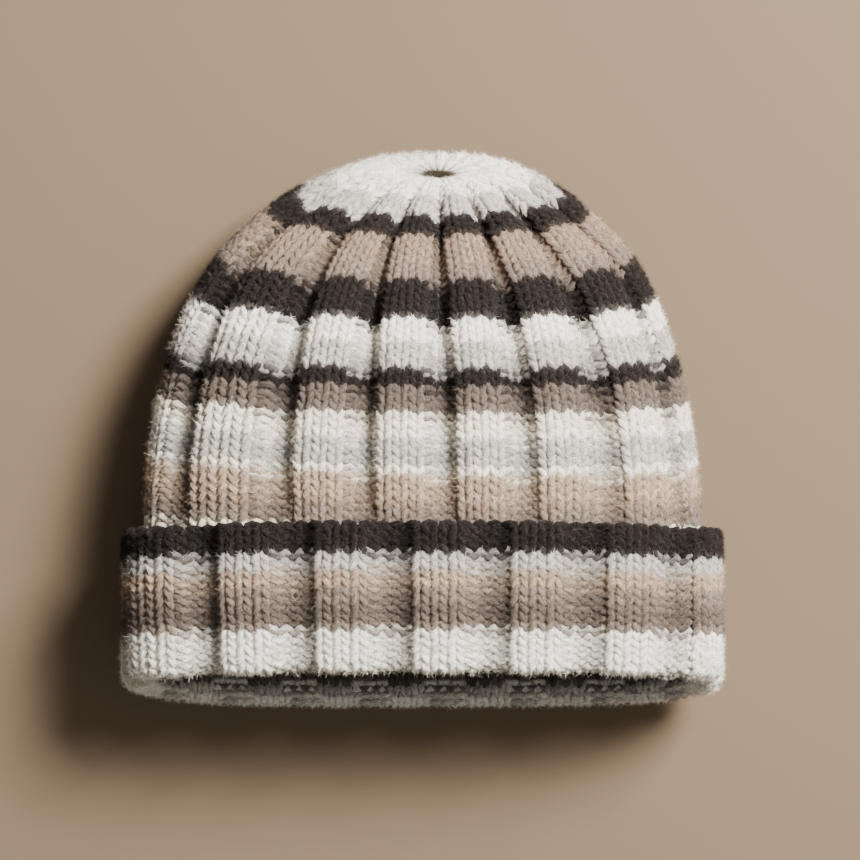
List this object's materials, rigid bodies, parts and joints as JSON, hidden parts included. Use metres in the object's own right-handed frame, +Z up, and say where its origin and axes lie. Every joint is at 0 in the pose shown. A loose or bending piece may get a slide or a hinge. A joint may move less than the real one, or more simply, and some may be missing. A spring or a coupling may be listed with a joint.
{
  "type": "beanie",
  "caption": "Ribbed wool beanie with a turned-up cuff, a hollow for the head and a gathered crown, lying softly filled out on its back.",
  "frame": {"origin": "middle of the overall box's underside, on the surface that the beanie lies on", "axes": "+X across the head opening, to the right as the picture shows it; +Y from the opening to the crown; +Z up from the surface"},
  "size_m": [0.2296, 0.215, 0.0934],
  "materials": {
    "body_wool": "brushed wool, matt",
    "cuff_wool": "brushed wool, matt"
  },
  "bodies": {
    "root": {"knitted_body": "body_wool", "turned_cuff": "cuff_wool"}
  },
  "joints": []
}
